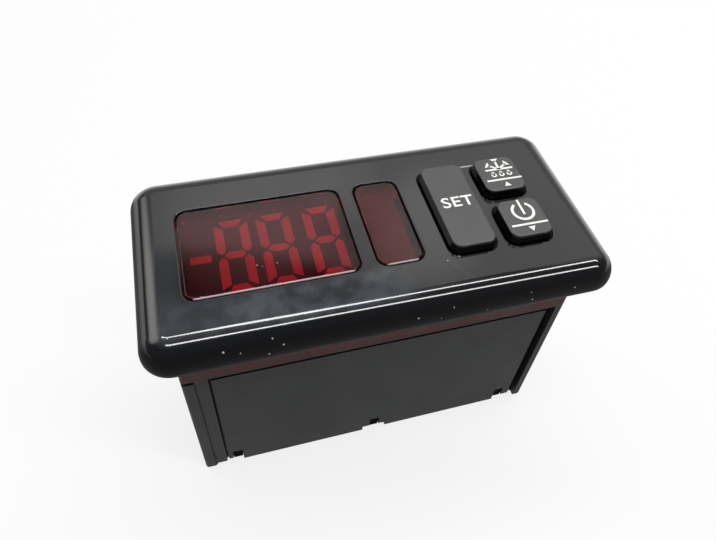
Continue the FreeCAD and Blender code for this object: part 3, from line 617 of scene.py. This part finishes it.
@dataclass(frozen=True)
class KeyMoulding(Finish):
    """Black key with a satin top and polished sides, told apart by the rise of the normal."""

    side: Colour = (0.003, 0.003, 0.003)
    side_gloss: float = 0.16
    top_rise: Point2 = (0.55, 0.95)

    def detail(self, graph: NodeGraph) -> None:
        """Give the sides their own depth of black and gloss.

        Args:
            graph: Nodes of the material.
        """
        normal = graph.node("ShaderNodeSeparateXYZ", {"Vector": graph.coordinates.outputs["Normal"]})
        level = graph.ramp(normal.outputs["Z"], *self.top_rise)
        cloud = graph.noise(self.patch)
        top = graph.blend(graph.ramp(cloud, *CLOUD), self.colour, self.toned(1.0 + self.mottle))
        graph.surface("Base Color", graph.blend(level, self.side, top))
        satin = graph.ramp(cloud, *CLOUD, *(gloss - self.side_gloss for gloss in self.gloss))
        graph.surface("Roughness", graph.plus(graph.times(level, satin), self.side_gloss))


class Palette(Enum):
    """Every finish of the controller under its material slot."""

    GLOSS_BLACK = GlossMoulding(
        "gloss_black", (0.008, 0.008, 0.0088), (0.05, 0.10), 0.1, 12.0, 0.5, 0.0003, 0.0, 1.2
    )
    SMOKED_RED = SmokedLens("smoked_red", (0.60, 0.07, 0.10), (0.02, 0.06), 0.1, 5.0, 0.5, 0.0001, 0.0, 1.42)
    KEY_BLACK = KeyMoulding("key_black", (0.068, 0.068, 0.066), (0.40, 0.48), 0.08, 4.0, 0.12, 0.002)
    CASE_GREY = Finish("case_grey", (0.0155, 0.0172, 0.0168), (0.52, 0.57), 0.03, 9.0, 0.22, 0.005, 0.0, 1.3)
    TERMINAL_BLACK = Finish(
        "terminal_black", (0.010, 0.010, 0.010), (0.48, 0.58), 0.12, 5.0, 0.25, 0.004, 0.0, 1.3
    )
    # Black plastic made nearly black and without reflection: painted shade, so that the cover's hooks in the
    # case's notches read as shaded holes.
    COVER_BLACK = Finish("cover_shade_black", (0.002, 0.002, 0.002), (0.70, 0.80), 0.1, 5.0, 0.25, 0.004, 0.0, 1.1)
    PART_BLACK = Finish("part_black", (0.020, 0.020, 0.020), (0.38, 0.50), 0.12, 4.0, 0.2, 0.003)
    BOARD_GREEN = Finish("board_green", (0.020, 0.120, 0.050), (0.22, 0.34), 0.15, 3.0, 0.4, 0.004)
    CHAMBER_GREY = Finish("chamber_grey", (0.11, 0.10, 0.098), (0.50, 0.62), 0.10, 3.0, 0.2, 0.003)
    DISPLAY_FACE = Finish("display_face", (0.040, 0.036, 0.036), (0.45, 0.55), 0.12, 3.0, 0.15, 0.002)
    SEGMENT_WHITE = Finish("segment_white", (0.75, 0.73, 0.70), (0.35, 0.45), 0.06, 1.5, 0.2, 0.003)
    LIGHT_RED = Finish("light_red", (0.60, 0.25, 0.20), (0.18, 0.28), 0.08, 1.0, 0.2, 0.002)
    PIN_TIN = Finish("pin_tin", (0.75, 0.74, 0.70), (0.25, 0.38), 0.08, 1.0, 0.1, 0.002, 1.0)
    PLUNGER_BROWN = Finish("plunger_brown", (0.10, 0.06, 0.04), (0.38, 0.48), 0.10, 1.0, 0.15, 0.002)
    FERRITE_GREY = Finish("ferrite_grey", (0.060, 0.060, 0.065), (0.55, 0.70), 0.15, 2.0, 0.12, 0.008)
    WINDING_TAPE = Finish("winding_tape", (0.60, 0.42, 0.08), (0.25, 0.38), 0.12, 2.5, 0.5, 0.02)
    CAN_SLEEVE = Finish("can_sleeve", (0.020, 0.025, 0.060), (0.20, 0.30), 0.10, 2.5, 0.4, 0.006)
    CAGE_BRASS = Finish("cage_brass", (0.70, 0.60, 0.35), (0.28, 0.42), 0.12, 1.2, 0.1, 0.003, 1.0)
    SCREW_STEEL = Finish("screw_steel", (0.62, 0.62, 0.60), (0.26, 0.40), 0.10, 1.0, 0.08, 0.003, 1.0)
    PRINT_WHITE = Finish("print_white", (0.86, 0.86, 0.83), (0.45, 0.55), 0.04, 0.8, 0.1, 0.001)


class FinishRack:
    """Makes each finish once and hands it out."""

    def __init__(self) -> None:
        """Start with nothing made."""
        self.made: dict[Palette, bpy.types.Material] = {}

    def __getitem__(self, finish: Palette) -> bpy.types.Material:
        """Hand out a finish, built on its first use.

        Args:
            finish: Which finish.

        Returns:
            Its material.
        """
        if finish not in self.made:
            self.made[finish] = finish.value.material()
        return self.made[finish]


class FramePiece:
    """Dresses the nodes that keep their CAD meshes; a node's own finish goes before its slot's."""

    # The rear cover's own near black is painted shade in the case's notches.
    own: dict[str, Palette] = {"rear_cover": Palette.COVER_BLACK}

    def __init__(self, frame: dict[str, Any], rack: FinishRack) -> None:
        """Keep the frame's nodes and each node's slot.

        Args:
            rack: Finishes of the controller.
        """
        self.nodes: dict[str, bpy.types.Object] = frame["nodes"]
        rows = frame["record"]["subparts"]
        self.slots: dict[str, str] = {row["node"]: row["material_slot"] for row in rows}
        self.rack = rack

    def dress(self) -> None:
        """Give every node its own finish, or the one that its slot names."""
        for name, node in sorted(self.nodes.items()):
            finish = self.own.get(name) or Palette[self.slots[name].upper()]
            node.data.materials.clear()
            node.data.materials.append(self.rack[finish])
            LOG.info("%s wears %s", name, finish.name.lower())


class InkSheet:
    """Thin raised print on a key's top, drawn in millimetres from the middle of the key."""

    thickness = 0.03

    def __init__(self, key: str) -> None:
        """Find the key's top.

        Args:
            key: CAD node that carries the print.
        """
        low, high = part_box(key)
        self.origin = Vector(((low.x + high.x) / 2, (low.y + high.y) / 2, high.z + self.thickness * MM / 2))
        self.mesh = bmesh.new()

    def at(self, x: float, y: float, turn: float = 0.0) -> Matrix:
        """Placing matrix of a mark.

        Args:
            x: Right of the key's middle.
            y: Above the key's middle.
            turn: Angle about Z in degrees.

        Returns:
            The matrix, in metres.
        """
        place = Matrix.Translation(self.origin + Vector((x * MM, y * MM, 0.0)))
        return place @ Matrix.Rotation(math.radians(turn), 4, "Z")

    def bar(self, start: Point2, end: Point2, width: float) -> None:
        """Straight stroke.

        Args:
            start: First end.
            end: Last end.
            width: Width of the stroke.
        """
        run = Vector(end) - Vector(start)
        middle = (Vector(end) + Vector(start)) / 2
        turn = math.degrees(math.atan2(run.y, run.x))
        size = Matrix.Diagonal((run.length * MM, width * MM, self.thickness * MM, 1.0))
        bmesh.ops.create_cube(self.mesh, size=1.0, matrix=self.at(middle.x, middle.y, turn) @ size)

    def ring(self, middle: Point2, radius: float, width: float, gap: float = 0.0, steps: int = 36) -> None:
        """Round stroke, open at the top by a gap.

        Args:
            middle: Centre of the ring.
            radius: Radius of the stroke's middle.
            width: Width of the stroke.
            gap: Open angle at the top in degrees.
            steps: Faces along the ring.
        """
        place = self.at(*middle, 90.0 + gap / 2)
        size = Matrix.Diagonal((width * MM, 1.0, self.thickness * MM, 1.0))
        upright = Matrix.Rotation(math.pi / 2, 4, "X")
        side = place @ Matrix.Translation(Vector((radius * MM, 0.0, 0.0))) @ size @ upright
        grid = bmesh.ops.create_grid(self.mesh, x_segments=1, y_segments=1, size=0.5, matrix=side)
        corners = grid["verts"]
        face = corners[0].link_faces[0]
        bmesh.ops.spin(
            self.mesh,
            geom=[face, *face.edges, *corners],
            cent=place.translation,
            axis=(0.0, 0.0, 1.0),
            angle=math.radians(360.0 - gap),
            steps=steps,
            use_merge=gap == 0.0,
            use_duplicate=False,
        )

    def triangle(self, middle: Point2, width: float, height: float, turn: float) -> None:
        """Solid triangle.

        Args:
            middle: Point half way from its base to its tip.
            width: Length of its base.
            height: Rise of its tip.
            turn: Where the tip points, in degrees.
        """
        reach = width / math.sqrt(3.0)
        stretch = height / (1.5 * reach)
        place = self.at(*middle, turn) @ Matrix.Translation(Vector((-height / 6 * MM, 0.0, 0.0)))
        size = Matrix.Diagonal((stretch, 1.0, 1.0, 1.0))
        tip_first = Matrix.Rotation(-math.pi / 2, 4, "Z")
        bmesh.ops.create_cone(
            self.mesh,
            cap_ends=True,
            segments=3,
            radius1=reach * MM,
            radius2=reach * MM,
            depth=self.thickness * MM,
            matrix=place @ size @ tip_first,
        )

    def word(self, text: str, middle: Point2, size: Point2, weight: float, spacing: float) -> None:
        """Word in plain capitals.

        Args:
            text: What it says.
            middle: Centre of the word.
            size: Length of the word and height of its capitals.
            weight: Thickening of the strokes.
            spacing: Room between the letters, 1 for the usual.
        """
        curve = bpy.data.curves.new(text, "FONT")
        curve.body = text
        # Half a unit each way: the scale below then sets the thickness.
        curve.extrude = 0.5
        curve.offset = weight
        curve.space_character = spacing
        carrier = bpy.data.objects.new(text, curve)
        bpy.context.scene.collection.objects.link(carrier)
        bpy.context.view_layer.update()
        flat = bpy.data.meshes.new_from_object(carrier.evaluated_get(bpy.context.evaluated_depsgraph_get()))
        xs = [vertex.co.x for vertex in flat.vertices]
        ys = [vertex.co.y for vertex in flat.vertices]
        wide = size[0] * MM / (max(xs) - min(xs))
        tall = size[1] * MM / (max(ys) - min(ys))
        scale = Matrix.Diagonal((wide, tall, self.thickness * MM, 1.0))
        centre = Matrix.Translation(Vector((-(max(xs) + min(xs)) / 2, -(max(ys) + min(ys)) / 2, 0.0)))
        flat.transform(self.at(*middle) @ scale @ centre)
        self.mesh.from_mesh(flat)
        bpy.data.objects.remove(carrier)
        bpy.data.curves.remove(curve)
        bpy.data.meshes.remove(flat)

    def finish(self, name: str, body: Body, ink: bpy.types.Material) -> None:
        """Turn the marks into a piece that rides on its key.

        Args:
            name: Name of the piece.
            body: Body that carries it.
            ink: Its material.
        """
        bmesh.ops.remove_doubles(self.mesh, verts=self.mesh.verts, dist=MERGE_DISTANCE)
        bmesh.ops.recalc_face_normals(self.mesh, faces=self.mesh.faces)
        data = bpy.data.meshes.new(name)
        self.mesh.to_mesh(data)
        self.mesh.free()
        data.materials.append(ink)
        piece = bpy.data.objects.new(name, data)
        bpy.context.scene.collection.objects.link(piece)
        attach(piece, body.value)
        LOG.info("%s rides on %s", name, body.value)


@dataclass
class KeyPrint:
    """Print on the three keys, in millimetres from each key's middle."""

    rack: FinishRack
    word_middle: Point2 = (0.22, 0.34)
    word_size: Point2 = (5.85, 2.4)
    word_weight: float = 0.014
    word_spacing: float = 1.06
    rule_width: float = 0.40
    rule_half: float = 3.4
    stroke: float = 0.42
    triangle_size: Point2 = (1.3, 1.05)
    flake_x: float = 0.35
    flake_y: float = 1.085
    flake_half: float = 2.7
    arm_reach: float = 2.75
    side_reach: float = 2.5
    side_turn: float = 55.0
    wedge_size: Point2 = (1.6, 0.9)
    drop_y: float = -0.275
    drop_pitch: float = 1.53
    drop_radius: float = 0.40
    drop_stroke: float = 0.27
    drop_tip: float = 0.85
    drop_shoulder: Point2 = (0.86, 0.5)
    drop_steps: int = 20
    up_rule_y: float = -1.575
    up_triangle_y: float = -2.825
    power_x: float = 0.25
    power_y: float = 1.215
    power_radius: float = 1.89
    power_stroke: float = 0.5
    power_gap: float = 64.0
    power_bar: Point2 = (0.425, 3.925)
    down_rule_y: float = -1.785
    down_triangle_y: float = -2.945

    def build(self) -> None:
        """Print the three keys."""
        self.print_set()
        self.print_up()
        self.print_down()

    def print_set(self) -> None:
        """SET in capitals across the tall key."""
        sheet = InkSheet("set_key")
        sheet.word("SET", self.word_middle, self.word_size, self.word_weight, self.word_spacing)
        sheet.finish("set_print", Body.SET_KEY, self.rack[Palette.PRINT_WHITE])

    def rule(self, sheet: InkSheet, x: float, y: float) -> None:
        """Line that parts a key's symbol from its triangle."""
        sheet.bar((x - self.rule_half, y), (x + self.rule_half, y), self.rule_width)

    def print_up(self) -> None:
        """Half a snowflake over three drops, a line and a triangle."""
        sheet = InkSheet("up_key")
        root = (self.flake_x, self.flake_y)
        half = self.flake_half
        sheet.bar((root[0] - half, root[1]), (root[0] + half, root[1]), self.stroke)
        self.snow_arm(sheet, root, 90.0, self.arm_reach)
        for side in (-1, 1):
            self.snow_arm(sheet, root, 90.0 + side * self.side_turn, self.side_reach)
        for index in (-1, 0, 1):
            self.drop(sheet, (self.flake_x + index * self.drop_pitch, self.drop_y))
        self.rule(sheet, self.flake_x, self.up_rule_y)
        sheet.triangle((self.flake_x, self.up_triangle_y), *self.triangle_size, Pointing.UP.value)
        sheet.finish("up_print", Body.UP_KEY, self.rack[Palette.PRINT_WHITE])

    def snow_arm(self, sheet: InkSheet, root: Point2, turn: float, reach: float) -> None:
        """Arm of the snowflake that widens into a wedge at its end.

        Args:
            sheet: Print that it belongs to.
            root: Where the arm starts.
            turn: Its direction in degrees.
            reach: Its length.
        """
        way = Vector((math.cos(math.radians(turn)), math.sin(math.radians(turn))))
        width, height = self.wedge_size
        neck = Vector(root) + way * (reach - height / 2)
        sheet.bar(root, tuple(neck), self.stroke)
        sheet.triangle(tuple(neck), width, height, turn + 180.0)

    def drop(self, sheet: InkSheet, middle: Point2) -> None:
        """Open drop with a pointed top.

        Args:
            sheet: Print that it belongs to.
            middle: Centre of its round part.
        """
        x, y = middle
        sheet.ring(middle, self.drop_radius, self.drop_stroke, steps=self.drop_steps)
        aside, above = self.drop_shoulder
        for side in (-1, 1):
            foot = (x + side * self.drop_radius * aside, y + self.drop_radius * above)
            sheet.bar(foot, (x, y + self.drop_tip), self.drop_stroke)

    def print_down(self) -> None:
        """Open ring with a bar, a line and a triangle."""
        sheet = InkSheet("down_key")
        x = self.power_x
        low_y, high_y = self.power_bar
        sheet.ring((x, self.power_y), self.power_radius, self.power_stroke, self.power_gap)
        sheet.bar((x, low_y), (x, high_y), self.stroke)
        self.rule(sheet, x, self.down_rule_y)
        sheet.triangle((x, self.down_triangle_y), *self.triangle_size, Pointing.DOWN.value)
        sheet.finish("down_print", Body.DOWN_KEY, self.rack[Palette.PRINT_WHITE])


@dataclass(frozen=True)
class PhotoCamera:
    """Camera at the photograph's viewing angle, in the controller's frame."""

    place: Point3 = (-25.342, -69.232, 132.699)
    ahead: Point3 = (0.2295, 0.62135, -0.74917)
    level: Point3 = (0.95991, -0.27177, 0.06866)
    lens: float = 32.2125
    sensor: float = 36.0
    shift: Point2 = (-0.018275, -0.051898)
    near_clip: float = 5.0

    def build(self) -> None:
        """Stand the camera in the scene."""
        data = bpy.data.cameras.new("photo_camera")
        data.sensor_width = self.sensor
        data.lens = self.lens
        data.shift_x, data.shift_y = self.shift
        data.clip_start = self.near_clip * MM
        camera = bpy.data.objects.new("photo_camera", data)
        bpy.context.scene.collection.objects.link(camera)
        ahead = Vector(self.ahead).normalized()
        right = Vector(self.level).normalized()
        up = right.cross(ahead)
        turn = Matrix((right, up, -ahead)).transposed()
        camera.matrix_world = Matrix.Translation(Vector(self.place) * MM) @ turn.to_4x4()
        bpy.context.scene.camera = camera
        LOG.info("camera stands at %s mm", self.place)


@dataclass(frozen=True)
class TubeLight:
    """Long narrow ceiling light, from one end to the other in metres."""

    name: str
    start: Point3
    end: Point3
    width: float = 0.08
    radiance: float = 18.0

    def build(self) -> None:
        """Hang the light so that it shines straight down."""
        start, end = Vector(self.start), Vector(self.end)
        data = bpy.data.lights.new(self.name, "AREA")
        data.shape = "RECTANGLE"
        data.size = (end - start).length
        data.size_y = self.width
        data.energy = self.radiance * math.pi * data.size * data.size_y
        lamp = bpy.data.objects.new(self.name, data)
        bpy.context.scene.collection.objects.link(lamp)
        turn = math.atan2(end.y - start.y, end.x - start.x)
        lamp.matrix_world = Matrix.Translation((start + end) / 2) @ Matrix.Rotation(turn, 4, "Z")


@dataclass(frozen=True)
class Glow:
    """Brighter patch of the room, by its direction, the cosine of its reach and what it adds."""

    way: Point3
    reach: float
    level: float
    colour: Colour = (1.0, 1.0, 0.97)


@dataclass(frozen=True)
class Surroundings:
    """Room with a bright wall behind the object, a dark beam, a cooler ceiling and a white horizon."""

    wall: Colour = (0.98, 0.98, 0.955)
    ceiling: Colour = (0.38, 0.41, 0.48)
    shade: Colour = (0.08, 0.09, 0.10)
    behind: Point2 = (0.0, 0.45)
    lean: float = 0.136
    beam: tuple[Point2, Point2] = ((0.750, 0.776), (0.80, 0.818))
    foot: Point2 = (0.62, 0.74)
    foot_lean: float = 0.2
    foot_level: float = 0.45
    left: Point2 = (-0.55, -0.25)
    left_level: float = 0.15
    horizon: Point2 = (0.20, 0.12)
    glows: tuple[Glow, ...] = (
        Glow((0.318, 0.602, 0.733), 0.994, 0.65),
        Glow((0.05, 0.70, 0.71), 0.985, 0.5),
        Glow((0.20, 0.684, 0.701), 0.9975, 0.3),
        Glow((-0.58, 0.50, 0.64), 0.92, 2.6, (1.0, 0.95, 0.90)),
    )

    def build(self) -> None:
        """Build the world."""
        graph = NodeGraph.for_world("studio")
        bpy.context.scene.world = graph.owner
        height = graph.axis(2)
        slant = graph.plus(height, graph.times(graph.axis(0), -self.lean))
        colour = graph.blend(graph.ramp(slant, *self.beam[0]), self.wall, self.shade)
        colour = graph.blend(graph.ramp(slant, *self.beam[1]), colour, self.ceiling)
        rise = graph.plus(height, graph.times(graph.axis(0), self.foot_lean))
        risen = graph.ramp(rise, *self.foot, self.foot_level, 1.0)
        share = graph.times(graph.ramp(graph.axis(1), *self.behind), risen)
        share = graph.times(share, graph.ramp(graph.axis(0), *self.left, self.left_level, 1.0))
        colour = graph.blend(share, self.shade, colour)
        for glow in self.glows:
            near = graph.along(Vector(), Vector(glow.way).normalized())
            added = tuple(part * glow.level for part in glow.colour)
            colour = graph.blend(graph.ramp(near, glow.reach, 1.0), colour, added, "ADD")
        low = graph.times(graph.ramp(height, *self.horizon), graph.seen())
        graph.surface("Color", graph.blend(low, colour, WHITE))


@dataclass(frozen=True)
class Studio:
    """Pale floor, the surroundings and two ceiling tubes."""

    floor_half: float = 3000.0
    floor_colour: Colour = (0.85, 0.85, 0.85)
    floor_white: float = 0.8
    floor_rough: float = 0.9
    shade_inset: Point2 = (1.4, 1.1)
    tubes: tuple[TubeLight, ...] = (
        TubeLight("far_tube", (-0.24, 0.49, 0.95), (0.78, -0.02, 0.95)),
        TubeLight("near_tube", (-0.24, -0.03, 0.95), (0.82, -0.504, 0.95)),
    )

    def build(self) -> None:
        """Build the floor, the world and the lights."""
        self.build_floor()
        Surroundings().build()
        for tube in self.tubes:
            tube.build()
        LOG.info("studio lit by %d tubes", len(self.tubes))

    def build_floor(self) -> None:
        """Lay the floor under the controller."""
        sheet = bmesh.new()
        bmesh.ops.create_grid(sheet, x_segments=1, y_segments=1, size=self.floor_half * MM)
        data = bpy.data.meshes.new("floor")
        sheet.to_mesh(data)
        sheet.free()
        floor = bpy.data.objects.new("floor", data)
        bpy.context.scene.collection.objects.link(floor)
        data.materials.append(self.floor_material())

    def floor_material(self) -> bpy.types.Material:
        """Pale floor that keeps the shadow and looks white.

        Returns:
            Its material.
        """
        graph = NodeGraph.for_material("pale_floor")
        graph.surface("Base Color", (*self.floor_colour, 1.0))
        graph.surface("Roughness", self.floor_rough)
        graph.surface("Specular IOR Level", 0.0)
        glow = graph.node("ShaderNodeEmission", {"Color": (*WHITE, 1.0), "Strength": 1.0})
        white = graph.times(graph.seen(), graph.times(self.clear_of_case(graph), self.floor_white))
        ends = {0: white, 1: graph.shader.outputs["BSDF"], 2: glow.outputs["Emission"]}
        mix = graph.node("ShaderNodeMixShader", ends)
        output = graph.tree.nodes["Material Output"]
        graph.tree.links.new(mix.outputs["Shader"], output.inputs["Surface"])
        return graph.owner

    def clear_of_case(self, graph: NodeGraph) -> bpy.types.NodeSocket:
        """Mark the floor that the case doesn't stand over.

        Args:
            graph: Nodes of the floor's material.

        Returns:
            Value socket, 0 under the case and 1 beside it.
        """
        low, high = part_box("case")
        dark, pale = self.shade_inset
        over: Any = 0.0
        for index in range(2):
            middle = (low[index] + high[index]) / 2
            aside = graph.math("ABSOLUTE", graph.plus(graph.axis(index), -middle))
            half = (high[index] - low[index]) / 2
            over = graph.most(over, graph.ramp(aside, half - dark * MM, half - pale * MM))
        return over


def clear_scene() -> None:
    """Remove what Blender's own start file holds."""
    for item in list(bpy.data.objects):
        bpy.data.objects.remove(item)


def main() -> None:
    """Load the frame, dress it and set up the studio."""
    logging.basicConfig(level=logging.INFO, format="%(name)s: %(message)s")
    clear_scene()
    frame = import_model()
    bpy.context.scene.view_settings.view_transform = "Standard"
    rack = FinishRack()
    FramePiece(frame, rack).dress()
    KeyPrint(rack).build()
    Studio().build()
    PhotoCamera().build()


if __name__ == "__main__":
    main()
